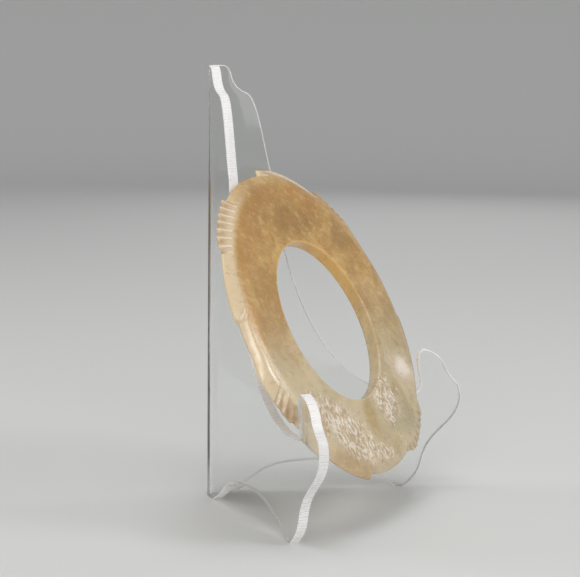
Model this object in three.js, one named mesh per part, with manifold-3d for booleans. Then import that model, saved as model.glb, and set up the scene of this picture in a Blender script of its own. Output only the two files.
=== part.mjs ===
// A toothed disc of honey-coloured jade, leaning back in a clear stand bent from one sheet.
// Millimetres, +Z up. The stand's feet are on z = 0 and its open front faces -Y. The origin is on
// the floor, in the plane of symmetry, midway between the stand's front and its back.
import * as THREE from "three";
import { mergeVertices } from "three/addons/utils/BufferGeometryUtils.js";
import Module from "manifold-3d";

// Disc: radii, thicknesses and the relief of its rim
const DISC_RADIUS = 47.7;
const HOLE_RADIUS = 25.2;
const HOLE_OFFSET_X = 0.25;
const HOLE_OFFSET_UP = -0.2;
const DISC_THICKNESS = 4.05;
const RIM_THICKNESS = 1.0;
const RIM_ROUNDING = 0.3;
const HOLE_ROUNDING = 0.5;
const BEVEL_WIDTH = 3.0;
const BEVEL_ROLL = 1.5;
const CREST_RISE = 2.5;
const SHOULDER_RISE = 0.7;
const TIP_RISE = 1.65;
const RIDGE_DEPTH = 0.45;
const RIDGE_RELIEF = 0.35;

// Turns around the rim, in degrees, anticlockwise from the right as the front is seen
const RIDGE_PITCH = 3.5;
const RIDGE_SLANT = 2.7;
const NOTCH_TURN = 1.0;
const PLAIN_STEP = 3.0;
const QUARTERS = [
  { foot: 22, from: 36, to: 52.5, end: 54, tip: 90.4, ridgeFrom: 36.5, ridges: 5, climb: 0.6, wear: 0.0 },
  { foot: 120.5, from: 123, to: 142.5, end: 146, tip: 171, ridgeFrom: 121.5, ridges: 7, climb: 0.8, wear: 0.1 },
  { foot: 184, from: 192, to: 207, end: 211, tip: 253, ridgeFrom: 199.5, ridges: 6, climb: 0.5, wear: -0.35 },
  { foot: 287, from: 296, to: 314, end: 318, tip: 353, ridgeFrom: 288, ridges: 7, climb: -0.4, wear: 0.4 },
];

// How the disc leans and where its rim sits in the crooks, both in degrees
const LEAN = 27.9;
const SEAT_ANGLE = 36.9;
const CLEARANCE = 0.35;

// Stand: one clear sheet, bent once along its upright spine
const SHEET = 3.0;
const HALF_ANGLE = 37.5;
const BEND_RADIUS = 2.7;
const STAND_HEIGHT = 131;
const SHOULDER_HEIGHT = 122.8;
const SEAT_HEIGHT = 30;
const SEAT_LENGTH = 9.5;
const HOOK_GAP = 1.2;
const HOOK_HEIGHT = 13.4;
const HOOK_LENGTH = 14.3;
const NOSE_DROP = 2.2;
const ANKLE_HEIGHT = 9;
const ARCH_HEIGHT = 9.6;
const FOOT_FLAT = 3;
const SPINE_FOOT = 6.5;
const CURVE_STEPS = 7;
const BEND_STEPS = 10;

const degrees = THREE.MathUtils.degToRad;
const wasm = await Module();
wasm.setup();

// Rim
function smooth(share) {
  return share * share * (3 - 2 * share);
}

function rimKeys() {
  const keys = [];
  QUARTERS.forEach((quarter, i) => {
    const before = QUARTERS[(i + QUARTERS.length - 1) % QUARTERS.length].tip;
    const start = i === 0 ? before - 360 : before;
    keys.push({ angle: start + NOTCH_TURN, rise: 0 });
    keys.push({ angle: quarter.foot, rise: quarter.climb });
    keys.push({ angle: quarter.from, rise: CREST_RISE });
    keys.push({ angle: quarter.to, rise: CREST_RISE });
    keys.push({ angle: quarter.end, rise: SHOULDER_RISE - quarter.wear });
    keys.push({ angle: quarter.tip, rise: TIP_RISE - quarter.wear });
  });
  return keys;
}

const KEYS = rimKeys();

function groove(angle) {
  const zone = QUARTERS.find((q) => angle >= q.ridgeFrom && angle <= q.ridgeFrom + q.ridges * RIDGE_PITCH);
  if (!zone) {
    return 0;
  }
  const turns = (angle - zone.ridgeFrom) / RIDGE_PITCH;
  return (0.5 + 0.5 * Math.cos(2 * Math.PI * turns)) ** 0.8;
}

function rimRadius(angle) {
  const first = KEYS[0].angle;
  const turned = ((((angle - first) % 360) + 360) % 360) + first;
  const next = KEYS.findIndex((key) => key.angle > turned);
  if (next < 0) {
    const tip = KEYS[KEYS.length - 1];
    return DISC_RADIUS + tip.rise * (1 - Math.min(1, (turned - tip.angle) / NOTCH_TURN));
  }
  const low = KEYS[next - 1];
  const high = KEYS[next];
  const share = (turned - low.angle) / (high.angle - low.angle);
  return DISC_RADIUS + low.rise + (high.rise - low.rise) * smooth(share);
}

function rimAngles() {
  const ridges = QUARTERS.flatMap((q) => {
    return Array.from({ length: q.ridges * 4 + 1 }, (_, i) => q.ridgeFrom + (i * RIDGE_PITCH) / 4);
  });
  const marked = [...ridges, ...QUARTERS.flatMap((q) => [q.tip, q.tip + NOTCH_TURN, q.end])];
  const plain = Array.from({ length: Math.round(360 / PLAIN_STEP) }, (_, i) => i * PLAIN_STEP);
  const apart = plain.filter((angle) => marked.every((m) => Math.abs(m - angle) > 0.8));
  return [...marked, ...apart].sort((a, b) => a - b).filter((a, i, all) => i === 0 || a - all[i - 1] > 0.2);
}

// Disc: half of its closed section at one angle, from the hole to the edge, as radius and height
function halfSection(angle) {
  const half = DISC_THICKNESS / 2;
  const edge = RIM_THICKNESS / 2;
  const rim = rimRadius(angle) - RIDGE_DEPTH * groove(angle);
  const start = DISC_RADIUS - BEVEL_WIDTH;
  const bevel = (share) => {
    const cut = groove(angle + RIDGE_SLANT * (1 - share));
    const height = half - (half - edge) * share ** BEVEL_ROLL - RIDGE_RELIEF * cut * share * (1 - share) * 3;
    return new THREE.Vector2(start + (rim - RIM_ROUNDING - start) * share, height);
  };
  return [
    new THREE.Vector2(HOLE_RADIUS, half - HOLE_ROUNDING),
    new THREE.Vector2(HOLE_RADIUS + 0.3 * HOLE_ROUNDING, half - 0.3 * HOLE_ROUNDING),
    new THREE.Vector2(HOLE_RADIUS + HOLE_ROUNDING, half),
    new THREE.Vector2(start, half),
    bevel(0.35),
    bevel(0.7),
    bevel(1),
    new THREE.Vector2(rim, 0.4 * edge),
  ];
}

// The whole section: out along the back, over the edge, in along the front and down the hole's wall
function section(angle) {
  const front = halfSection(angle);
  const back = front.map((point) => new THREE.Vector2(point.x, -point.y));
  return [...back, ...front.reverse(), back[0]];
}

function discGeometry() {
  const angles = rimAngles();
  const geometry = new THREE.LatheGeometry(section(0), angles.length);
  const place = geometry.getAttribute("position");
  const rows = section(0).length;
  for (let turn = 0; turn <= angles.length; turn += 1) {
    const angle = angles[turn % angles.length];
    section(angle).forEach((point, row) => {
      const atHole = point.x <= HOLE_RADIUS + HOLE_ROUNDING ? 1 : 0;
      const across = point.x * Math.cos(degrees(angle)) + atHole * HOLE_OFFSET_X;
      const up = point.x * Math.sin(degrees(angle)) + atHole * HOLE_OFFSET_UP;
      place.setXYZ(turn * rows + row, across, point.y, -up);
    });
  }
  geometry.deleteAttribute("normal");
  geometry.deleteAttribute("uv");
  return mergeVertices(geometry);
}

// Where the rim sits: the disc's centre and the spine follow from the seat
const lean = degrees(LEAN);
const half = degrees(HALF_ANGLE);
const seatRadius = Math.max(rimRadius(180 + SEAT_ANGLE), rimRadius(360 - SEAT_ANGLE));
const seatDrop = seatRadius * Math.sin(degrees(SEAT_ANGLE));
const seatReach = (seatRadius * Math.cos(degrees(SEAT_ANGLE))) / Math.sin(half);
const rimBack = RIM_THICKNESS / 2;
const centreHeight = SEAT_HEIGHT + CLEARANCE + rimBack * Math.sin(lean) + seatDrop * Math.cos(lean);
const spineY = seatReach * Math.cos(half) - seatDrop * Math.sin(lean);

// Where the wings' front edges meet the back of the rim: reach from the spine, and height
function upperSupport() {
  const radius = DISC_RADIUS + TIP_RISE;
  const behind = rimBack + CLEARANCE;
  const guess = (spineY - radius * Math.sin(lean)) / Math.cos(half);
  const up = Math.sqrt(radius ** 2 - (guess * Math.sin(half)) ** 2);
  const y = up * Math.sin(lean) + behind * Math.cos(lean);
  const z = centreHeight + up * Math.cos(lean) - behind * Math.sin(lean);
  return new THREE.Vector2((spineY - y) / Math.cos(half), z);
}

// Stand: the outline of one wing, across from the spine and up
function wingOutline() {
  const bend = BEND_RADIUS / Math.tan(half);
  const support = upperSupport();
  const shoulder = new THREE.Vector2(bend + 6.2, SHOULDER_HEIGHT);
  const seat = new THREE.Vector2(seatReach, SEAT_HEIGHT);
  const side = seat.x + HOOK_GAP;
  const top = new THREE.Vector2(seat.x + 2.2, seat.y + HOOK_HEIGHT);
  const notch = new THREE.Vector2(seat.x + HOOK_LENGTH - 4.8, seat.y + HOOK_HEIGHT / 2);
  const nose = new THREE.Vector2(seat.x + HOOK_LENGTH, seat.y - NOSE_DROP);
  const ankle = new THREE.Vector2(seat.x + 2.2, ANKLE_HEIGHT);
  const heel = seat.x - 3.6;
  const toe = heel - FOOT_FLAT;
  const arch = (toe + SPINE_FOOT) / 2 + 3;
  const shape = new THREE.Shape();
  shape.moveTo(-2 * (BEND_RADIUS + SHEET), 0);
  shape.lineTo(SPINE_FOOT, 0);
  shape.bezierCurveTo(SPINE_FOOT + 12, 0.6 * ARCH_HEIGHT, SPINE_FOOT + 8, ARCH_HEIGHT, arch, ARCH_HEIGHT);
  shape.bezierCurveTo(arch + 8, ARCH_HEIGHT, toe - 1.6, 0.25 * ARCH_HEIGHT, toe, 0);
  shape.lineTo(heel, 0);
  shape.bezierCurveTo(heel + 3.8, 3.1, ankle.x - 1.1, 0.5 * ankle.y, ankle.x, ankle.y);
  shape.bezierCurveTo(ankle.x + 2.3, ankle.y + 9.4, nose.x - 1.1, nose.y - 8.8, nose.x, nose.y);
  shape.bezierCurveTo(nose.x - 0.8, nose.y + 6.2, notch.x + 3.7, notch.y - 5.3, notch.x, notch.y);
  shape.bezierCurveTo(notch.x - 0.6, notch.y + 2.2, top.x + 4.4, top.y - 0.5, top.x, top.y);
  shape.bezierCurveTo(top.x - 4.1, top.y - 0.5, side + 1, seat.y + 3.9, side, seat.y + 1.7);
  shape.quadraticCurveTo(side, seat.y, side - 1.5, seat.y);
  shape.lineTo(seat.x - SEAT_LENGTH / 2, seat.y + 0.2);
  shape.bezierCurveTo(seat.x - 32, seat.y + 1.6, support.x + 3.3, support.y - 28, support.x, support.y);
  shape.bezierCurveTo(support.x - 2.2, support.y + 6.5, shoulder.x + 3.6, shoulder.y - 1.2, shoulder.x, shoulder.y);
  shape.bezierCurveTo(shoulder.x - 6.4, shoulder.y + 2.6, bend + 2.8, STAND_HEIGHT - 0.8, bend - 0.8, STAND_HEIGHT);
  shape.lineTo(-2 * (BEND_RADIUS + SHEET), STAND_HEIGHT);
  shape.closePath();
  return shape;
}

function solid(geometry, matrix) {
  const bare = geometry.clone();
  bare.deleteAttribute("normal");
  bare.deleteAttribute("uv");
  bare.applyMatrix4(matrix);
  const merged = mergeVertices(bare);
  const vertProperties = new Float32Array(merged.getAttribute("position").array);
  const triVerts = new Uint32Array(merged.getIndex().array);
  return new wasm.Manifold(new wasm.Mesh({ numProp: 3, vertProperties, triVerts }));
}

// The bent strip in plan: round the outside from the right wing's end, and back along the inside
function stripPlan() {
  const length = seatReach + HOOK_LENGTH + SHEET;
  const bendY = spineY - BEND_RADIUS / Math.sin(half);
  const turn = Math.PI - half;
  const across = length * Math.sin(half);
  const down = spineY - length * Math.cos(half);
  const outX = across + SHEET * Math.cos(half);
  const outY = down + SHEET * Math.sin(half);
  const shape = new THREE.Shape();
  shape.moveTo(across, down);
  shape.lineTo(outX, outY);
  shape.absarc(0, bendY, BEND_RADIUS + SHEET, half, turn, false);
  shape.lineTo(-outX, outY);
  shape.lineTo(-across, down);
  shape.absarc(0, bendY, BEND_RADIUS, turn, half, true);
  shape.closePath();
  return shape;
}

// One wing's outline as a thick prism, side -1 for the left wing and +1 for the right
function wingPrism(side) {
  const spare = BEND_RADIUS + 0.5;
  const depth = SHEET + 2 * spare;
  const geometry = new THREE.ExtrudeGeometry(wingOutline(), { depth, bevelEnabled: false, curveSegments: CURVE_STEPS });
  const out = new THREE.Vector3(side * Math.sin(half), -Math.cos(half), 0);
  const up = new THREE.Vector3(0, 0, 1);
  const normal = new THREE.Vector3().crossVectors(out, up);
  const start = side < 0 ? -spare : -SHEET - spare;
  const matrix = new THREE.Matrix4().makeBasis(out, up, normal);
  matrix.setPosition(new THREE.Vector3(0, spineY, 0).addScaledVector(normal, start));
  return solid(geometry, matrix);
}

function standGeometry() {
  const below = 5;
  const depth = STAND_HEIGHT + 2 * below;
  const strip = new THREE.ExtrudeGeometry(stripPlan(), { depth, bevelEnabled: false, curveSegments: BEND_STEPS });
  const blank = solid(strip, new THREE.Matrix4().makeTranslation(0, 0, -below));
  const wings = wingPrism(-1).add(wingPrism(1));
  const mesh = blank.intersect(wings).getMesh();
  const geometry = new THREE.BufferGeometry();
  geometry.setAttribute("position", new THREE.BufferAttribute(mesh.vertProperties, 3));
  geometry.setIndex(new THREE.BufferAttribute(mesh.triVerts, 1));
  return geometry;
}

// Jade: honey-coloured, polished, a little see-through at the edges
function jadeDisc() {
  const material = new THREE.MeshStandardMaterial({ color: 0xbfa47c, roughness: 0.3, metalness: 0 });
  const disc = new THREE.Mesh(discGeometry(), material);
  disc.name = "jade_disc";
  disc.position.set(0, 0, centreHeight);
  disc.rotation.x = Math.PI - lean;
  return disc;
}

// Stand: clear acrylic sheet
function displayStand() {
  const material = new THREE.MeshStandardMaterial({ color: 0xe8eef0, roughness: 0.05, metalness: 0 });
  material.transparent = true;
  material.opacity = 0.35;
  const stand = new THREE.Mesh(standGeometry(), material);
  stand.name = "display_stand";
  return stand;
}

const part = new THREE.Group();
part.add(jadeDisc(), displayStand());

// The origin goes midway between the hooks' noses and the back of the spine
const frontY = spineY - (seatReach + HOOK_LENGTH) * Math.cos(half);
const backY = spineY - BEND_RADIUS / Math.sin(half) + BEND_RADIUS + SHEET;
part.position.y = -(frontY + backY) / 2;

export default part;
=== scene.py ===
import math

import bpy
from mathutils import Euler, Matrix, Vector, noise


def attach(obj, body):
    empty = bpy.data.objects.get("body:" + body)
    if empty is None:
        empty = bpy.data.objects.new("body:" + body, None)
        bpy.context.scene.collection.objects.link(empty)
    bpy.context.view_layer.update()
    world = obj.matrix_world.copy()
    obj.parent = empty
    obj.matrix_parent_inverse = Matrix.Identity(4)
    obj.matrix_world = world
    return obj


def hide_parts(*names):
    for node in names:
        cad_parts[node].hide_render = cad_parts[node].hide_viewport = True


# A toothed disc of honey-coloured jade, leaning back in a clear stand bent from one sheet.
# Blender's units are metres. Sizes below are in millimetres, and angles in degrees.

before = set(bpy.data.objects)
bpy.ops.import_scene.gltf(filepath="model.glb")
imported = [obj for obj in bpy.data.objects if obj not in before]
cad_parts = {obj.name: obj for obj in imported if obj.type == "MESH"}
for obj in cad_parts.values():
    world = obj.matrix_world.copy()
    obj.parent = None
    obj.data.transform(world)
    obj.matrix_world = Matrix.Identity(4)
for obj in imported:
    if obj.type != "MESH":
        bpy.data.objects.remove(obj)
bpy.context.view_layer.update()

MM = 0.001

# Disc: the same sizes as in the part's source
DISC_CENTRE = (0.0, -6.6785, 56.479)
DISC_RADIUS = 47.7
HOLE_RADIUS = 25.2
HOLE_OFFSET = (0.25, -0.2)
DISC_THICKNESS = 4.05
RIM_THICKNESS = 1.0
RIM_ROUNDING = 0.3
HOLE_ROUNDING = 0.5
BEVEL_WIDTH = 3.0
BEVEL_ROLL = 1.5
CREST_RISE = 2.5
SHOULDER_RISE = 0.7
TIP_RISE = 1.65
RIDGE_DEPTH = 0.45
RIDGE_RELIEF = 0.35
RIDGE_PITCH = 3.5
RIDGE_SLANT = 2.7
NOTCH_TURN = 1.0
LEAN = 27.9

# Each quarter of the rim: the turns where it climbs, crests and ends in a hook, then its ridges,
# then how far its foot climbs and how much its hook is worn
QUARTERS = [
    {
        "foot": 22, "from": 36, "to": 52.5, "end": 54, "tip": 90.4,
        "first": 36.5, "ridges": 5, "climb": 0.6, "wear": 0,
    },
    {
        "foot": 120.5, "from": 123, "to": 142.5, "end": 146, "tip": 171,
        "first": 121.5, "ridges": 7, "climb": 0.8, "wear": 0.1,
    },
    {
        "foot": 184, "from": 192, "to": 207, "end": 211, "tip": 253,
        "first": 199.5, "ridges": 6, "climb": 0.5, "wear": -0.35,
    },
    {
        "foot": 287, "from": 296, "to": 314, "end": 318, "tip": 353,
        "first": 288, "ridges": 7, "climb": -0.4, "wear": 0.4,
    },
]

# Disc: fine relief that only this mesh has. The left crest's grooves are cut deeper at the rim,
# and hand polish rounds the border between the face and the bevel
LEFT_CREST = (115, 150)
DEEPER_GROOVES = 0.35
GROOVE_FULLNESS = 0.8
BEVEL_GROOVES = 6
# Painted highlight along the ridge tops: its strength on the left crest, and on the others
CRISP_HIGHLIGHT = 1.5
FAINT_HIGHLIGHT = 0.5
CORNER_SOFTENING = 0.2
CORNER_WIDTH = 1.8
POLISH_WAVES = 0.05
POLISH_SCALE = 0.09
WALL_LIMIT = 0.3
FACE_FADE = 0.9

# Pitted places: how the flecks lie, and how deep the pits between them go
FLECK_TURN = -62
FLECK_LENGTH = 1.45
FLECK_WIDTH = 0.95
PIT_DEPTH = 0.19
FLECK_RISE = 0.18
DEEP_PIT = 0.22
# PIT_SHADE: how dark the pits are painted as shade; CUT_SHADE: how pale the cut lines are painted
PIT_SHADE = 3
CUT_SHADE = 7

# Disc: how finely it is modelled
TURN_STEPS = 900
FRONT_ROWS = 46
BACK_ROWS = 14
BEVEL_ROWS = 12

# Stand: the same sizes as in the part's source
SPINE_Y = 30.4695
SHEET = 3.0
HALF_ANGLE = 37.5
BEND_RADIUS = 2.7
STAND_HEIGHT = 131.0
SHOULDER_HEIGHT = 122.8
SEAT_REACH = 64.106
SEAT_HEIGHT = 30.0
SEAT_LENGTH = 9.5
HOOK_GAP = 1.2
HOOK_HEIGHT = 13.4
HOOK_LENGTH = 14.3
NOSE_DROP = 2.2
ANKLE_HEIGHT = 9.0
ARCH_HEIGHT = 9.6
FOOT_FLAT = 3.0
SPINE_FOOT = 6.5
SUPPORT_REACH = 17.47
SUPPORT_HEIGHT = 98.64
EDGE_CHAMFER = 0.18
BEND_CUTS = 11


def smooth(share):
    share = min(1.0, max(0.0, share))
    return share * share * (3 - 2 * share)


def select_only(piece):
    bpy.ops.object.select_all(action="DESELECT")
    piece.select_set(True)
    bpy.context.view_layer.objects.active = piece


# Camera at the photograph's viewing angle
def add_camera():
    data = bpy.data.cameras.new("photo_camera")
    data.lens = 118.8
    data.sensor_width = 36.0
    data.clip_start = 0.01
    data.clip_end = 20.0
    camera = bpy.data.objects.new("photo_camera", data)
    bpy.context.scene.collection.objects.link(camera)
    azimuth = math.radians(-63.34)
    elevation = math.radians(8.09)
    roll = math.radians(0.58)
    turn = Euler((math.pi / 2 - elevation, 0.0, azimuth)).to_matrix() @ Euler((0.0, 0.0, roll)).to_matrix()
    camera.rotation_mode = "QUATERNION"
    camera.rotation_quaternion = turn.to_quaternion()
    camera.location = Vector((-503.01, -247.90, 145.6)) * MM
    bpy.context.scene.camera = camera


# Rim: its rise over the plain disc, in keys of angle and rise
def rim_keys():
    keys = []
    for i, quarter in enumerate(QUARTERS):
        before = QUARTERS[i - 1]["tip"] - (360 if i == 0 else 0)
        keys.append((before + NOTCH_TURN, 0.0))
        keys.append((quarter["foot"], quarter["climb"]))
        keys.append((quarter["from"], CREST_RISE))
        keys.append((quarter["to"], CREST_RISE))
        keys.append((quarter["end"], SHOULDER_RISE - quarter["wear"]))
        keys.append((quarter["tip"], TIP_RISE - quarter["wear"]))
    return keys


RIM_KEYS = rim_keys()


def rim_rise(angle):
    first = RIM_KEYS[0][0]
    turned = (angle - first) % 360 + first
    for low, high in zip(RIM_KEYS, RIM_KEYS[1:]):
        if turned < high[0]:
            share = (turned - low[0]) / (high[0] - low[0])
            return low[1] + (high[1] - low[1]) * smooth(share)
    tip = RIM_KEYS[-1]
    return tip[1] * (1 - min(1.0, (turned - tip[0]) / NOTCH_TURN))


# How many ridges lie before an angle in its crest, or None between the crests
def ridges_before(angle):
    for quarter in QUARTERS:
        turns = (angle - quarter["first"]) / RIDGE_PITCH
        if 0 <= turns <= quarter["ridges"]:
            return turns
    return None


# 1 along the bottom of each groove
def ridge_groove(angle):
    turns = ridges_before(angle)
    if turns is None:
        return 0.0
    return (0.5 + 0.5 * math.cos(2 * math.pi * turns)) ** GROOVE_FULLNESS


# 1 along the top of each ridge, where a highlight is painted
def ridge_highlight(angle):
    turns = ridges_before(angle)
    if turns is None:
        return 0.0
    return (0.5 - 0.5 * math.cos(2 * math.pi * turns)) ** 4


# Section of the plain disc: half of it, as radius and height, from the hole's wall to the edge
def half_section(face_rows):
    half = DISC_THICKNESS / 2
    edge = RIM_THICKNESS / 2
    start = DISC_RADIUS - BEVEL_WIDTH
    points = []
    for i in range(4):
        points.append((HOLE_RADIUS, (half - HOLE_ROUNDING) * i / 4))
    for i in range(4):
        turn = math.radians(90 * i / 4)
        inset = HOLE_ROUNDING * (1 - math.cos(turn))
        points.append((HOLE_RADIUS + inset, half - HOLE_ROUNDING * (1 - math.sin(turn))))
    inner = HOLE_RADIUS + HOLE_ROUNDING
    for i in range(face_rows):
        points.append((inner + (start - inner) * i / face_rows, half))
    for i in range(BEVEL_ROWS + 1):
        share = i / BEVEL_ROWS
        radius = start + (DISC_RADIUS - RIM_ROUNDING - start) * share
        points.append((radius, half - (half - edge) * share ** BEVEL_ROLL))
    points.append((DISC_RADIUS - 0.1 * RIM_ROUNDING, 0.55 * edge))
    return points


def disc_section():
    front = half_section(FRONT_ROWS)
    back = [(radius, -height) for radius, height in half_section(BACK_ROWS)[1:]]
    return front + [(DISC_RADIUS, 0.0)] + back[::-1]


# Places on the disc's face: across and up from its centre, half length, half width and turn
PITTED_PLACES = [
    (-17.5, -32.5, 17.0, 7.5, -38),
    (13.0, -28.0, 8.0, 7.0, 8),
    (-3.0, -41.5, 7.0, 2.6, -12),
]

# Scratches and cut lines: start, end, half width and depth
CUT_LINES = [
    ((-48.6, 6.9), (-44.3, 9.0), 0.32, 0.16),
    ((-46.6, 6.3), (-42.3, 9.3), 0.26, 0.12),
    ((-44.3, 9.0), (-41.6, 9.9), 0.26, 0.10),
    ((-1.2, 48.4), (4.2, 46.9), 0.34, 0.20),
    ((-25.7, 38.0), (-22.4, 34.4), 0.22, 0.05),
    ((-37.5, -18.9), (-33.2, -21.0), 0.30, 0.07),
]


def oval_share(x, y, place):
    across, up, length, width, turn = place
    if math.hypot(x - across, y - up) > 1.8 * length:
        return 0.0
    cosine = math.cos(math.radians(turn))
    sine = math.sin(math.radians(turn))
    along = ((x - across) * cosine + (y - up) * sine) / length
    beside = ((y - up) * cosine - (x - across) * sine) / width
    ragged = 0.35 * noise.noise(Vector((x, y, 4.0)) * 0.35)
    return smooth((1.35 + ragged - math.hypot(along, beside)) / 0.7)


def line_depth(x, y, line):
    (x0, y0), (x1, y1), width, depth = line
    length = math.hypot(x1 - x0, y1 - y0)
    along = ((x - x0) * (x1 - x0) + (y - y0) * (y1 - y0)) / length
    if not -width < along < length + width:
        return 0.0
    beside = abs((x - x0) * (y1 - y0) - (y - y0) * (x1 - x0)) / length
    if beside > 2.5 * width:
        return 0.0
    taper = smooth((along + width) / (4 * width)) * smooth((length + width - along) / (4 * width))
    return depth * taper * math.exp(-((beside / width) ** 2))


# How the front is worn at a point: depth of hand polish, of pits between flecks and of cut lines, and where
# the flecks rise, which later gets a painted glint
def front_wear(x, y):
    polish = POLISH_WAVES * (1 + noise.noise(Vector((x, y, 0.0)) * POLISH_SCALE))
    pits = 0.0
    fleck_and_glint = 0.0
    share = max(oval_share(x, y, place) for place in PITTED_PLACES)
    if share > 0:
        slant = math.radians(FLECK_TURN)
        stray = noise.noise(Vector((x, y, 77.0)) * 0.45)
        along = (x * math.cos(slant) + y * math.sin(slant)) / FLECK_LENGTH + 0.7 * stray
        beside = (y * math.cos(slant) - x * math.sin(slant)) / FLECK_WIDTH - 0.5 * stray
        lump = noise.noise(Vector((along, beside, 3.0)))
        lump += 0.5 * noise.noise(Vector((along, beside, 9.0)) * 2.1)
        crowd = noise.noise(Vector((x, y, 55.0)) * 0.22)
        fleck_and_glint = share * smooth((lump + 0.30 + 0.5 * crowd) / 0.60)
        pits = share * (PIT_DEPTH - FLECK_RISE * fleck_and_glint)
        deep = noise.noise(Vector((x, y, 31.0)) * 0.75)
        pits += share * (1 - fleck_and_glint) * DEEP_PIT * smooth((deep - 0.22) / 0.2)
    cuts = sum(line_depth(x, y, line) for line in CUT_LINES)
    return polish, pits, cuts, fleck_and_glint


# Disc: the section is spun round, then its rim, ridges and wear are worked into it, and masks for painted
# highlights and shade are stored on its points
def add_disc():
    section = disc_section()
    bpy.ops.object.select_all(action="DESELECT")
    bpy.ops.mesh.primitive_circle_add(vertices=len(section), radius=1.0)
    disc = bpy.context.active_object
    disc.name = "carved_disc"
    for vertex, (radius, height) in zip(disc.data.vertices, section):
        vertex.co = (radius, 0.0, height)
    bpy.ops.object.mode_set(mode="EDIT")
    bpy.ops.mesh.select_all(action="SELECT")
    bpy.ops.mesh.spin(steps=TURN_STEPS, angle=2 * math.pi, center=(0, 0, 0), axis=(0, 0, 1))
    bpy.ops.mesh.select_all(action="SELECT")
    bpy.ops.mesh.remove_doubles(threshold=0.0005)
    bpy.ops.mesh.normals_make_consistent(inside=False)
    bpy.ops.object.mode_set(mode="OBJECT")

    disc.data.attributes.new("groove_dirt_and_pit_shade", "FLOAT", "POINT")
    disc.data.attributes.new("fleck_and_glint", "FLOAT", "POINT")
    groove_dirt_and_pit_shade = disc.data.attributes["groove_dirt_and_pit_shade"]
    fleck_and_glint = disc.data.attributes["fleck_and_glint"]
    start = DISC_RADIUS - BEVEL_WIDTH
    inner = HOLE_RADIUS + HOLE_ROUNDING
    for i, vertex in enumerate(disc.data.vertices):
        x, y, height = vertex.co
        radius = math.hypot(x, y)
        angle = math.degrees(math.atan2(y, x)) % 360
        depth = 0.0
        if radius > start:
            share = (radius - start) / (DISC_RADIUS - start)
            crisp = LEFT_CREST[0] < angle < LEFT_CREST[1]
            deep = RIDGE_DEPTH + (DEEPER_GROOVES if crisp else 0.0)
            rim = DISC_RADIUS + rim_rise(angle) - deep * ridge_groove(angle)
            radius = start + (rim - start) * share
            groove = ridge_groove(angle + RIDGE_SLANT * (1 - share))
            cut = RIDGE_RELIEF * groove * share * (1 - share) * BEVEL_GROOVES
            height -= math.copysign(min(cut, abs(height)), height)
            depth = groove * smooth(share * 2 - 0.5)
            # Painted highlight along each ridge top, fading towards the rim
            line = ridge_highlight(angle + RIDGE_SLANT * (1 - share)) * (CRISP_HIGHLIGHT if crisp else FAINT_HIGHLIGHT)
            fleck_and_glint.data[i].value = line * smooth(share * 4) * (1 - 0.6 * share)
        if height > 0:
            height -= CORNER_SOFTENING * math.exp(-(((radius - start) / CORNER_WIDTH) ** 2))
        shift = min(1.0, max(0.0, (start - radius) / (start - inner)))
        x = radius * math.cos(math.radians(angle)) + HOLE_OFFSET[0] * shift
        y = radius * math.sin(math.radians(angle)) + HOLE_OFFSET[1] * shift
        if height > WALL_LIMIT:
            polish, pits, cuts, raised = front_wear(x, y)
            edge = smooth((height - WALL_LIMIT) / FACE_FADE)
            height -= edge * (polish + pits + cuts)
            # Painted shade in the pits, added to the dirt in the grooves
            depth += edge * pits * PIT_SHADE
            # Painted glints on the raised flecks, and pale cut lines
            pale = max(raised, min(1.0, cuts * CUT_SHADE))
            fleck_and_glint.data[i].value = max(fleck_and_glint.data[i].value, edge * pale)
        elif height < -WALL_LIMIT:
            height += POLISH_WAVES * (1 + noise.noise(Vector((x, y, 50.0)) * POLISH_SCALE))
        vertex.co = (x, y, height)
        groove_dirt_and_pit_shade.data[i].value = min(1.0, depth)

    place = Matrix.Translation(DISC_CENTRE) @ Matrix.Rotation(math.radians(90 - LEAN), 4, "X")
    disc.data.transform(Matrix.Scale(MM, 4) @ place)
    disc.data.shade_smooth()
    disc.data.update()
    return disc


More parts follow.
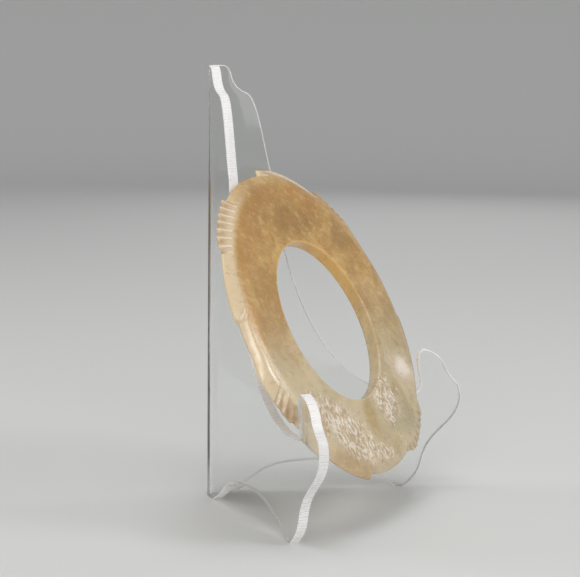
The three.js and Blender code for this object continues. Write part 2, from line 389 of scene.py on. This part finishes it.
# Stand: half of the flat blank's outline, as curve knots with the handles before and after
def wing_path():
    tangent = BEND_RADIUS / math.tan(math.radians(HALF_ANGLE))
    seat = SEAT_REACH
    side = seat + HOOK_GAP
    heel = seat - 3.6
    toe = heel - FOOT_FLAT
    arch = (toe + SPINE_FOOT) / 2 + 3
    ankle = (seat + 2.2, ANKLE_HEIGHT)
    nose = (seat + HOOK_LENGTH, SEAT_HEIGHT - NOSE_DROP)
    notch = (seat + HOOK_LENGTH - 4.8, SEAT_HEIGHT + HOOK_HEIGHT / 2)
    top = (seat + 2.2, SEAT_HEIGHT + HOOK_HEIGHT)
    support = (SUPPORT_REACH, SUPPORT_HEIGHT)
    shoulder = (tangent + 6.2, SHOULDER_HEIGHT)
    corner = (side - 1.0, SEAT_HEIGHT)
    ledge = (seat - SEAT_LENGTH / 2, SEAT_HEIGHT + 0.2)
    finial = (tangent - 0.8, STAND_HEIGHT)
    return [
        ((SPINE_FOOT, 0), None, (SPINE_FOOT + 12, 0.6 * ARCH_HEIGHT)),
        ((arch, ARCH_HEIGHT), (SPINE_FOOT + 8, ARCH_HEIGHT), (arch + 8, ARCH_HEIGHT)),
        ((toe, 0), (toe - 1.6, 0.25 * ARCH_HEIGHT), None),
        ((heel, 0), None, (heel + 3.8, 3.1)),
        (ankle, (ankle[0] - 1.1, 0.5 * ankle[1]), (ankle[0] + 2.3, ankle[1] + 9.4)),
        (nose, (nose[0] - 1.1, nose[1] - 8.8), (nose[0] - 0.8, nose[1] + 6.2)),
        (notch, (notch[0] + 3.7, notch[1] - 5.3), (notch[0] - 0.6, notch[1] + 2.2)),
        (top, (top[0] + 4.4, top[1] - 0.5), (top[0] - 4.1, top[1] - 0.5)),
        ((side, SEAT_HEIGHT + 1.7), (side + 1, SEAT_HEIGHT + 3.9), (side, SEAT_HEIGHT + 0.57)),
        ((side - 1.5, SEAT_HEIGHT), corner, None),
        (ledge, None, (seat - 32, SEAT_HEIGHT + 1.6)),
        (support, (support[0] + 3.3, support[1] - 28), (support[0] - 2.2, support[1] + 6.5)),
        (shoulder, (shoulder[0] + 3.6, shoulder[1] - 1.2), (shoulder[0] - 6.4, shoulder[1] + 2.6)),
        (finial, (tangent + 2.8, STAND_HEIGHT - 0.8), None),
    ]


# Where a point of the flat blank goes when the sheet is bent: along it, through its thickness
def bent(along, through):
    half = math.radians(HALF_ANGLE)
    half_turn = math.pi / 2 - half
    centre_y = SPINE_Y - BEND_RADIUS / math.sin(half)
    reach = abs(along)
    turn = min(reach / BEND_RADIUS, half_turn)
    straight = max(0.0, reach - BEND_RADIUS * half_turn)
    across = (BEND_RADIUS + through) * math.sin(turn) + straight * math.sin(half)
    y = centre_y + (BEND_RADIUS + through) * math.cos(turn) - straight * math.cos(half)
    return math.copysign(across, along), y


# A point of one wing's outline, laid out on the flat blank
def laid_flat(position, side, flat_shift):
    return Vector((side * (position[0] + flat_shift), position[1], 0.0))


# Stand: the outline is drawn flat, given its thickness, cut across the bend and bent
def add_stand():
    half_turn = math.pi / 2 - math.radians(HALF_ANGLE)
    tangent = BEND_RADIUS / math.tan(math.radians(HALF_ANGLE))
    flat_shift = BEND_RADIUS * half_turn - tangent
    right = wing_path()
    left = [(point, after, before) for point, before, after in reversed(right)]
    bpy.ops.object.select_all(action="DESELECT")
    bpy.ops.curve.primitive_bezier_curve_add()
    blank = bpy.context.active_object
    blank.name = "clear_stand"
    outline = blank.data
    spline = outline.splines[0]
    knots = [(1, knot) for knot in right] + [(-1, knot) for knot in left]
    spline.bezier_points.add(len(knots) - len(spline.bezier_points))
    for point, (side, (place, before, after)) in zip(spline.bezier_points, knots):
        point.handle_left_type = "FREE" if before else "VECTOR"
        point.handle_right_type = "FREE" if after else "VECTOR"
        point.co = laid_flat(place, side, flat_shift)
        point.handle_left = laid_flat(before or place, side, flat_shift)
        point.handle_right = laid_flat(after or place, side, flat_shift)
    spline.use_cyclic_u = True
    spline.resolution_u = 16
    outline.dimensions = "2D"
    outline.fill_mode = "BOTH"
    outline.extrude = SHEET / 2 - EDGE_CHAMFER
    outline.bevel_depth = EDGE_CHAMFER
    outline.bevel_resolution = 0
    outline.offset = -EDGE_CHAMFER
    bpy.ops.object.convert(target="MESH")
    stand = bpy.context.active_object
    bpy.ops.object.mode_set(mode="EDIT")
    bpy.ops.mesh.select_all(action="SELECT")
    bpy.ops.mesh.remove_doubles(threshold=0.002)
    for i in range(BEND_CUTS):
        cut = BEND_RADIUS * half_turn * (2 * i / (BEND_CUTS - 1) - 1)
        bpy.ops.mesh.select_all(action="SELECT")
        bpy.ops.mesh.bisect(plane_co=(cut, 0, 0), plane_no=(1, 0, 0))
    bpy.ops.object.mode_set(mode="OBJECT")
    for face in stand.data.polygons:
        face.material_index = 0 if abs(face.normal.z) > 0.95 else 1
    for vertex in stand.data.vertices:
        along, height, depth = vertex.co
        x, y = bent(along, depth + SHEET / 2)
        vertex.co = Vector((x, y, height)) * MM
    bpy.ops.object.mode_set(mode="EDIT")
    bpy.ops.mesh.select_all(action="SELECT")
    bpy.ops.mesh.normals_make_consistent(inside=False)
    bpy.ops.object.mode_set(mode="OBJECT")
    select_only(stand)
    bpy.ops.object.shade_smooth_by_angle(angle=math.radians(24))
    return stand


# Materials: a colour as it looks on a screen, turned into light
def tone(red, green, blue):
    def linear(value):
        return value / 12.92 if value <= 0.04045 else ((value + 0.055) / 1.055) ** 2.4
    return (linear(red), linear(green), linear(blue), 1.0)


def new_group(name, inputs, outputs):
    group = bpy.data.node_groups.new(name, "ShaderNodeTree")
    for label, kind, value in inputs:
        entry = group.interface.new_socket(label, in_out="INPUT", socket_type=kind)
        if value is not None:
            entry.default_value = value
    for label, kind in outputs:
        group.interface.new_socket(label, in_out="OUTPUT", socket_type=kind)
    return group, Desk(group)


# A small hand for laying nodes: each call adds one node and joins its inputs
class Desk:
    def __init__(self, tree):
        self.tree = tree

    def node(self, kind, sockets=None, **settings):
        node = self.tree.nodes.new(kind)
        for name, value in settings.items():
            setattr(node, name, value)
        for name, value in (sockets or {}).items():
            self.feed(node.inputs[name], value)
        return node

    def feed(self, socket, value):
        if isinstance(value, bpy.types.NodeSocket):
            self.tree.links.new(value, socket)
        else:
            socket.default_value = value

    def maths(self, operation, first, second=0.0, clamp=False):
        node = self.node("ShaderNodeMath", {0: first, 1: second}, operation=operation, use_clamp=clamp)
        return node.outputs[0]

    def spread(self, value, low, high, to_low=0.0, to_high=1.0):
        sockets = {"Value": value, "From Min": low, "From Max": high, "To Min": to_low, "To Max": to_high}
        node = self.node("ShaderNodeMapRange", sockets, interpolation_type="SMOOTHSTEP")
        return node.outputs["Result"]

    def blend(self, share, first, second):
        node = self.node("ShaderNodeMix", data_type="RGBA")
        self.feed(node.inputs["Factor"], share)
        self.feed(node.inputs[6], first)
        self.feed(node.inputs[7], second)
        return node.outputs[2]

    def turned(self, vector, place=(0, 0, 0), turn=(0, 0, 0), size=(1, 1, 1)):
        sockets = {"Vector": vector, "Location": place, "Rotation": turn, "Scale": size}
        return self.node("ShaderNodeMapping", sockets, vector_type="TEXTURE").outputs[0]

    def grain(self, vector, scale, detail=2.0, roughness=0.5, warp=0.0):
        sockets = {"Vector": vector, "Scale": scale, "Detail": detail}
        sockets.update({"Roughness": roughness, "Distortion": warp})
        return self.node("ShaderNodeTexNoise", sockets).outputs["Fac"]


# A soft oval place on a face, with a ragged edge
def make_place_group():
    inputs = [
        ("Face", "NodeSocketVector", None),
        ("Centre", "NodeSocketVector", (0, 0, 0)),
        ("Turn", "NodeSocketVector", (0, 0, 0)),
        ("Half Size", "NodeSocketVector", (1, 1, 1)),
        ("Softness", "NodeSocketFloat", 0.4),
        ("Ragged", "NodeSocketFloat", 0.5),
    ]
    group, desk = new_group("soft_place", inputs, [("Mask", "NodeSocketFloat")])
    given = desk.node("NodeGroupInput").outputs
    moved = desk.turned(given["Face"], given["Centre"], given["Turn"], given["Half Size"])
    level = desk.node("ShaderNodeVectorMath", {0: moved, 1: (1, 1, 0)}, operation="MULTIPLY").outputs[0]
    far = desk.node("ShaderNodeVectorMath", {0: level}, operation="LENGTH").outputs["Value"]
    cloud = desk.grain(given["Face"], 0.28, 4.0, 0.6)
    shake = desk.maths("MULTIPLY", desk.maths("SUBTRACT", cloud, 0.5), given["Ragged"])
    shaken = desk.maths("ADD", far, shake)
    low = desk.maths("SUBTRACT", 1.0, given["Softness"])
    high = desk.maths("ADD", 1.0, given["Softness"])
    mask = desk.maths("SUBTRACT", 1.0, desk.spread(shaken, low, high), clamp=True)
    desk.node("NodeGroupOutput", {"Mask": mask})
    return group


# Fine marks left by the saw: streaks that run through the sheet's thickness
def make_saw_group():
    inputs = [("Sheet", "NodeSocketVector", None), ("Closeness", "NodeSocketFloat", 1.0)]
    outputs = [("Streaks", "NodeSocketFloat"), ("Haze", "NodeSocketFloat")]
    group, desk = new_group("saw_marks", inputs, outputs)
    given = desk.node("NodeGroupInput").outputs
    stretch = {0: given["Sheet"], 1: (1.0, 0.035, 1.0)}
    drawn = desk.node("ShaderNodeVectorMath", stretch, operation="MULTIPLY").outputs[0]
    fine = desk.grain(drawn, given["Closeness"], 3.0, 0.75)
    broad = desk.grain(given["Sheet"], 0.16, 3.0, 0.6)
    streaks = desk.spread(fine, 0.36, 0.66)
    haze = desk.spread(broad, 0.3, 0.7)
    desk.node("NodeGroupOutput", {"Streaks": streaks, "Haze": haze})
    return group


def new_material(name):
    material = bpy.data.materials.new(name)
    material.use_nodes = True
    tree = material.node_tree
    tree.nodes.clear()
    desk = Desk(tree)
    shader = desk.node("ShaderNodeBsdfPrincipled")
    desk.node("ShaderNodeOutputMaterial", {"Surface": shader.outputs[0]})
    return material, desk, shader


# Jade: honey and cream clouds, stains, flecks, dirt in the ridge grooves, and painted light (highlights,
# glints, shade in the pits, a glow in the hole's wall), all in the disc's own plane
def jade_material(place_group):
    material, desk, shader = new_material("honey_jade")
    where = desk.node("ShaderNodeTexCoord").outputs["Object"]
    centre = tuple(value * MM for value in DISC_CENTRE)
    face = desk.turned(where, centre, (math.radians(90 - LEAN), 0, 0), (MM, MM, MM))

    def place(across, up, length, width, turn=0.0, softness=0.45, ragged=0.6):
        node = desk.node("ShaderNodeGroup", node_tree=place_group)
        desk.feed(node.inputs["Face"], face)
        desk.feed(node.inputs["Centre"], (across, up, 0))
        desk.feed(node.inputs["Turn"], (0, 0, math.radians(turn)))
        desk.feed(node.inputs["Half Size"], (length, width, 1))
        desk.feed(node.inputs["Softness"], softness)
        desk.feed(node.inputs["Ragged"], ragged)
        return node.outputs["Mask"]

    def share(mask, strength):
        return desk.maths("MULTIPLY", mask, strength, clamp=True)

    cloud = desk.grain(face, 0.07, 5.0, 0.6, 0.6)
    mottle = desk.grain(face, 0.32, 5.0, 0.65, 0.3)
    speck = desk.grain(face, 1.6, 4.0, 0.7)
    fine = desk.grain(face, 4.5, 3.0, 0.7)
    split = desk.node("ShaderNodeSeparateXYZ", {0: face})
    across = split.outputs["X"]
    up = split.outputs["Y"]
    level = desk.node("ShaderNodeVectorMath", {0: face, 1: (1, 1, 0)}, operation="MULTIPLY").outputs[0]
    radius = desk.node("ShaderNodeVectorMath", {0: level}, operation="LENGTH").outputs["Value"]

    honey = desk.blend(desk.spread(cloud, 0.35, 0.65), tone(0.82, 0.66, 0.40), tone(0.71, 0.56, 0.32))
    rosy = share(desk.spread(mottle, 0.47, 0.62), 0.55)
    upper = desk.blend(rosy, honey, tone(0.69, 0.49, 0.29))
    low_cloud = desk.blend(desk.spread(cloud, 0.38, 0.62), tone(0.84, 0.77, 0.63), tone(0.77, 0.70, 0.56))
    lift = desk.maths("ADD", up, desk.maths("MULTIPLY", desk.maths("SUBTRACT", cloud, 0.5), 22.0))
    lower = desk.maths("SUBTRACT", 1.0, desk.spread(lift, -22.0, 17.0))
    colour = desk.blend(lower, upper, low_cloud)

    # Pale cream rim, painted paler on the left where the light falls, and an ochre band inside it
    wander = desk.maths("ADD", radius, desk.maths("MULTIPLY", desk.maths("SUBTRACT", mottle, 0.5), 3.0))
    outer = desk.spread(wander, 42.8, 45.6)
    left = desk.spread(desk.maths("MULTIPLY", across, -1.0), 8.0, 34.0)
    above = desk.spread(up, -12.0, 6.0)
    band = desk.maths("MULTIPLY", desk.spread(wander, 38.5, 42.5), desk.maths("MULTIPLY", left, above))
    colour = desk.blend(share(band, 0.7), colour, tone(0.75, 0.57, 0.31))
    # The rim's own cream, with painted light making it paler on the left
    pale = desk.maths("MULTIPLY", outer, desk.spread(left, 0.0, 1.0, 0.2, 0.9))
    colour = desk.blend(pale, colour, tone(0.89, 0.81, 0.68))

    # Stains
    stains = [
        ((-20.0, 33.0, 8.0, 5.0, 30), tone(0.71, 0.51, 0.30), 0.4),
        ((-31.0, 24.0, 7.0, 4.0, 60), tone(0.74, 0.55, 0.32), 0.35),
        ((-27.0, 12.0, 4.5, 9.0, 10), tone(0.73, 0.55, 0.33), 0.4),
        ((-4.0, 41.0, 9.0, 3.5, -4), tone(0.68, 0.49, 0.31), 0.5),
        ((16.0, 37.5, 8.0, 4.0, -25), tone(0.72, 0.51, 0.28), 0.5),
        ((4.0, 32.0, 13.0, 5.0, -8), tone(0.60, 0.44, 0.24), 0.6),
        ((30.0, 24.0, 6.0, 5.0, 0), tone(0.64, 0.49, 0.31), 0.5),
        ((-42.5, 6.5, 3.0, 4.0, 0), tone(0.80, 0.62, 0.40), 0.6),
        ((-1.5, -31.5, 3.4, 6.0, -20), tone(0.74, 0.63, 0.42), 0.7),
        ((-20.0, -42.5, 12.0, 4.0, -28), tone(0.69, 0.55, 0.37), 0.55),
        ((22.0, -28.0, 3.5, 5.0, 10), tone(0.70, 0.61, 0.42), 0.6),
        ((-44.0, -20.5, 4.0, 3.5, 0), tone(0.74, 0.58, 0.40), 0.4),
        ((-37.0, -15.0, 8.0, 12.0, 25), tone(0.83, 0.76, 0.63), 0.5),
        ((18.0, -33.0, 9.0, 7.0, 0), tone(0.70, 0.66, 0.54), 0.6),
    ]
    for oval, stain, strength in stains:
        colour = desk.blend(share(place(*oval), strength), colour, stain)

    # Wall of the hole: a painted orange glow above, of light passing through the stone, and cream below
    wall = desk.maths("SUBTRACT", 1.0, desk.spread(radius, 25.25, 25.75))
    painted_through_light = share(desk.maths("MULTIPLY", wall, desk.spread(up, -16.0, 12.0)), 0.8)
    colour = desk.blend(painted_through_light, colour, tone(0.94, 0.76, 0.47))
    lower_wall = share(desk.maths("MULTIPLY", wall, desk.spread(up, 12.0, -10.0)), 0.6)
    colour = desk.blend(lower_wall, colour, tone(0.90, 0.83, 0.69))

    # Painted highlight low on the right: a whitish patch with a brighter core, standing for a reflection on
    # the polished face
    highlight_patch = place(31.5, -21.5, 7.5, 5.5, -30, 0.8, 1.6)
    highlight_core = place(32.5, -21.0, 4.0, 2.8, -20, 0.8, 1.8)
    colour = desk.blend(share(highlight_patch, 0.6), colour, tone(0.90, 0.83, 0.75))
    colour = desk.blend(share(highlight_core, 0.75), colour, tone(0.98, 0.94, 0.90))

    # Pitted places: a pale weathered zone, with painted glints on the raised flecks and painted shadow in
    # the gaps and pores between them
    worn = place(*PITTED_PLACES[0])
    for oval in PITTED_PLACES[1:]:
        worn = desk.maths("MAXIMUM", worn, place(*oval))
    fleck_and_glint = desk.node("ShaderNodeAttribute", attribute_name="fleck_and_glint").outputs["Fac"]
    broken = desk.maths("ADD", fleck_and_glint, desk.maths("MULTIPLY", desk.maths("SUBTRACT", speck, 0.5), 0.9))
    streaks = desk.maths("MULTIPLY", desk.spread(broken, 0.35, 0.95), desk.spread(fleck_and_glint, 0.02, 0.3))
    colour = desk.blend(share(worn, 0.6), colour, tone(0.89, 0.83, 0.73))
    colour = desk.blend(share(streaks, 0.65), colour, tone(0.97, 0.93, 0.89))
    shaded_gaps = desk.maths("MULTIPLY", desk.maths("SUBTRACT", 1.0, desk.spread(broken, -0.1, 0.25)), worn)
    colour = desk.blend(share(shaded_gaps, 0.3), colour, tone(0.64, 0.54, 0.40))
    shaded_pores = desk.maths("MULTIPLY", desk.spread(speck, 0.60, 0.68), shaded_gaps)
    colour = desk.blend(share(shaded_pores, 0.6), colour, tone(0.44, 0.35, 0.26))

    # Pale tip of the upper hook
    tip = place(-0.5, 48.8, 2.6, 1.6, -12, 0.5, 0.2)
    colour = desk.blend(share(tip, 0.7), colour, tone(0.93, 0.86, 0.72))

    # Small pale flecks, brown spots and cream patches, and fine grain all over
    fibres = desk.turned(face, (0, 0, 0), (0, 0, math.radians(-25)), (1.9, 1.0, 1.0))
    fibre = desk.grain(fibres, 0.6, 6.0, 0.72, 0.4)
    flecks = desk.maths("MULTIPLY", desk.spread(speck, 0.69, 0.76), desk.spread(mottle, 0.45, 0.6))
    colour = desk.blend(share(flecks, 0.5), colour, tone(0.90, 0.83, 0.68))
    spots = desk.maths("MULTIPLY", desk.spread(speck, 0.42, 0.34), desk.spread(mottle, 0.50, 0.62))
    colour = desk.blend(share(spots, 0.45), colour, tone(0.56, 0.38, 0.22))
    creamy = desk.maths("MULTIPLY", desk.spread(mottle, 0.47, 0.36), desk.spread(fibre, 0.56, 0.44))
    colour = desk.blend(share(creamy, 0.35), colour, tone(0.89, 0.78, 0.58))
    colour = desk.blend(share(desk.spread(fibre, 0.52, 0.70), 0.3), colour, tone(0.60, 0.43, 0.27))
    colour = desk.blend(share(desk.spread(fibre, 0.48, 0.32), 0.3), colour, tone(0.90, 0.80, 0.62))
    grain = desk.spread(fine, 0.25, 0.75, 0.87, 1.12)
    grained = desk.node("ShaderNodeVectorMath", {0: colour}, operation="SCALE")
    desk.feed(grained.inputs["Scale"], grain)
    colour = grained.outputs[0]

    # Darker brown: dirt along the ridge grooves, and painted shade in the pits
    groove_dirt_and_pit_shade = desk.node("ShaderNodeAttribute", attribute_name="groove_dirt_and_pit_shade").outputs["Fac"]
    colour = desk.blend(share(groove_dirt_and_pit_shade, 0.45), colour, tone(0.62, 0.46, 0.28))

    desk.feed(shader.inputs["Base Color"], colour)
    rough = desk.spread(mottle, 0.3, 0.7, 0.17, 0.28)
    rough = desk.maths("ADD", rough, desk.maths("MULTIPLY", worn, 0.06))
    rough = desk.maths("SUBTRACT", rough, desk.maths("MULTIPLY", outer, 0.06))
    desk.feed(shader.inputs["Roughness"], rough)
    height = desk.maths("ADD", desk.maths("MULTIPLY", fine, 0.25), desk.maths("MULTIPLY", streaks, 1.0))
    height = desk.maths("SUBTRACT", height, desk.maths("MULTIPLY", shaded_pores, 1.2))
    bump = desk.node("ShaderNodeBump", {"Height": height, "Strength": 0.5, "Distance": 0.00012})
    desk.feed(shader.inputs["Normal"], bump.outputs[0])
    shader.inputs["IOR"].default_value = 1.5
    shader.inputs["Subsurface Weight"].default_value = 0.3
    shader.inputs["Subsurface Radius"].default_value = (1.0, 0.75, 0.45)
    shader.inputs["Subsurface Scale"].default_value = 0.0009
    return material


# Coordinates along, through and up one wing, the same for both wings, in millimetres
def sheet_vector(desk):
    where = desk.node("ShaderNodeTexCoord").outputs["Object"]
    split = desk.node("ShaderNodeSeparateXYZ", {0: where})
    across = desk.maths("ABSOLUTE", split.outputs[0])
    folded = {"X": across, "Y": split.outputs["Y"], "Z": split.outputs["Z"]}
    joined = desk.node("ShaderNodeCombineXYZ", folded).outputs[0]
    return desk.turned(joined, (0, SPINE_Y * MM, 0), (0, 0, math.radians(HALF_ANGLE - 90)), (MM, MM, MM))


def clear_face_material():
    material, desk, shader = new_material("clear_sheet")
    sheet = sheet_vector(desk)
    film = desk.grain(sheet, 0.05, 4.0, 0.6)
    desk.feed(shader.inputs["Roughness"], desk.spread(film, 0.3, 0.7, 0.015, 0.06))
    hairlines = desk.grain(desk.turned(sheet, (0, 0, 0), (0.3, 0.7, 0.2), (14.0, 0.12, 6.0)), 1.0, 2.0, 0.5)
    bump = desk.node("ShaderNodeBump", {"Height": hairlines, "Strength": 0.05, "Distance": 0.00003})
    desk.feed(shader.inputs["Normal"], bump.outputs[0])
    shader.inputs["Base Color"].default_value = tone(0.985, 0.987, 0.984)
    shader.inputs["Transmission Weight"].default_value = 1.0
    shader.inputs["IOR"].default_value = 1.49
    return material


# Sawn edge: frosted by the saw, and brightened by the light that the sheet carries to it
EDGE_GLOW = 0.10


def cut_edge_material(saw_group):
    material, desk, shader = new_material("sawn_edge")
    saw = desk.node("ShaderNodeGroup", node_tree=saw_group)
    desk.feed(saw.inputs["Sheet"], sheet_vector(desk))
    desk.feed(saw.inputs["Closeness"], 2.6)
    streaks, haze = saw.outputs["Streaks"], saw.outputs["Haze"]
    clear = tone(0.96, 0.955, 0.955)
    colour = desk.blend(desk.maths("MULTIPLY", streaks, haze), clear, tone(1.0, 0.99, 0.985))
    desk.feed(shader.inputs["Base Color"], colour)
    rough = desk.maths("ADD", desk.spread(streaks, 0.0, 1.0, 0.16, 0.28), desk.maths("MULTIPLY", haze, 0.14))
    desk.feed(shader.inputs["Roughness"], rough)
    bump = desk.node("ShaderNodeBump", {"Height": streaks, "Strength": 0.22, "Distance": 0.00006})
    desk.feed(shader.inputs["Normal"], bump.outputs[0])
    shader.inputs["Transmission Weight"].default_value = 0.25
    shader.inputs["IOR"].default_value = 1.49
    shader.inputs["Emission Color"].default_value = tone(1.0, 0.985, 0.97)
    shader.inputs["Emission Strength"].default_value = EDGE_GLOW
    return material


# Floor, light and surroundings, in metres: the floor rises in a soft sweep far from the stand
FLOOR_FLAT = 1.1
FLOOR_SWEEP = 1.6
FLOOR_RISE = 1.5


def add_floor():
    bpy.ops.object.select_all(action="DESELECT")
    bpy.ops.mesh.primitive_grid_add(x_subdivisions=120, y_subdivisions=120, size=6.0)
    floor = bpy.context.active_object
    floor.name = "floor"
    for vertex in floor.data.vertices:
        vertex.co.z = FLOOR_RISE * smooth((vertex.co.length - FLOOR_FLAT) / FLOOR_SWEEP)
    floor.data.shade_smooth()
    material, _, shader = new_material("pale_floor")
    shader.inputs["Base Color"].default_value = tone(0.88, 0.88, 0.87)
    shader.inputs["Roughness"].default_value = 0.7
    floor.data.materials.append(material)


def add_light(name, place, size, power, target=(0.0, 0.0, 0.06)):
    data = bpy.data.lights.new(name, "AREA")
    data.shape = "RECTANGLE"
    data.size, data.size_y = size
    data.energy = power
    light = bpy.data.objects.new(name, data)
    light.location = place
    light.rotation_mode = "QUATERNION"
    light.rotation_quaternion = (Vector(target) - Vector(place)).to_track_quat("-Z", "Y")
    light.visible_camera = False
    light.visible_transmission = False
    bpy.context.scene.collection.objects.link(light)


def add_light_set():
    add_light("front_softbox", (0.05, -0.88, 0.60), (0.32, 0.28), 2.0)
    add_light("small_softbox", (0.70, -0.60, 0.42), (0.14, 0.14), 0.6)
    add_light("left_softbox", (-0.85, -0.42, 0.42), (0.9, 0.8), 3.9)
    add_light("top_softbox", (-0.05, 0.05, 0.95), (0.6, 0.6), 2.8)
    add_light("right_softbox", (0.88, 0.30, 0.38), (0.40, 0.45), 0.4)
    add_light("back_softbox", (-0.30, 0.90, 0.45), (0.5, 0.5), 1.6)
    world = bpy.data.worlds.new("studio")
    world.use_nodes = True
    world.node_tree.nodes["Background"].inputs["Color"].default_value = tone(0.80, 0.81, 0.82)
    world.node_tree.nodes["Background"].inputs["Strength"].default_value = 0.45
    bpy.context.scene.world = world
    bpy.context.scene.view_settings.view_transform = "Standard"


add_camera()
add_floor()
add_light_set()

place_group = make_place_group()
saw_group = make_saw_group()

disc = add_disc()
disc.data.materials.append(jade_material(place_group))
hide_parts("jade_disc")
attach(disc, "root")

stand = add_stand()
for material in (clear_face_material(), cut_edge_material(saw_group)):
    stand.data.materials.append(material)
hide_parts("display_stand")
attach(stand, "root")
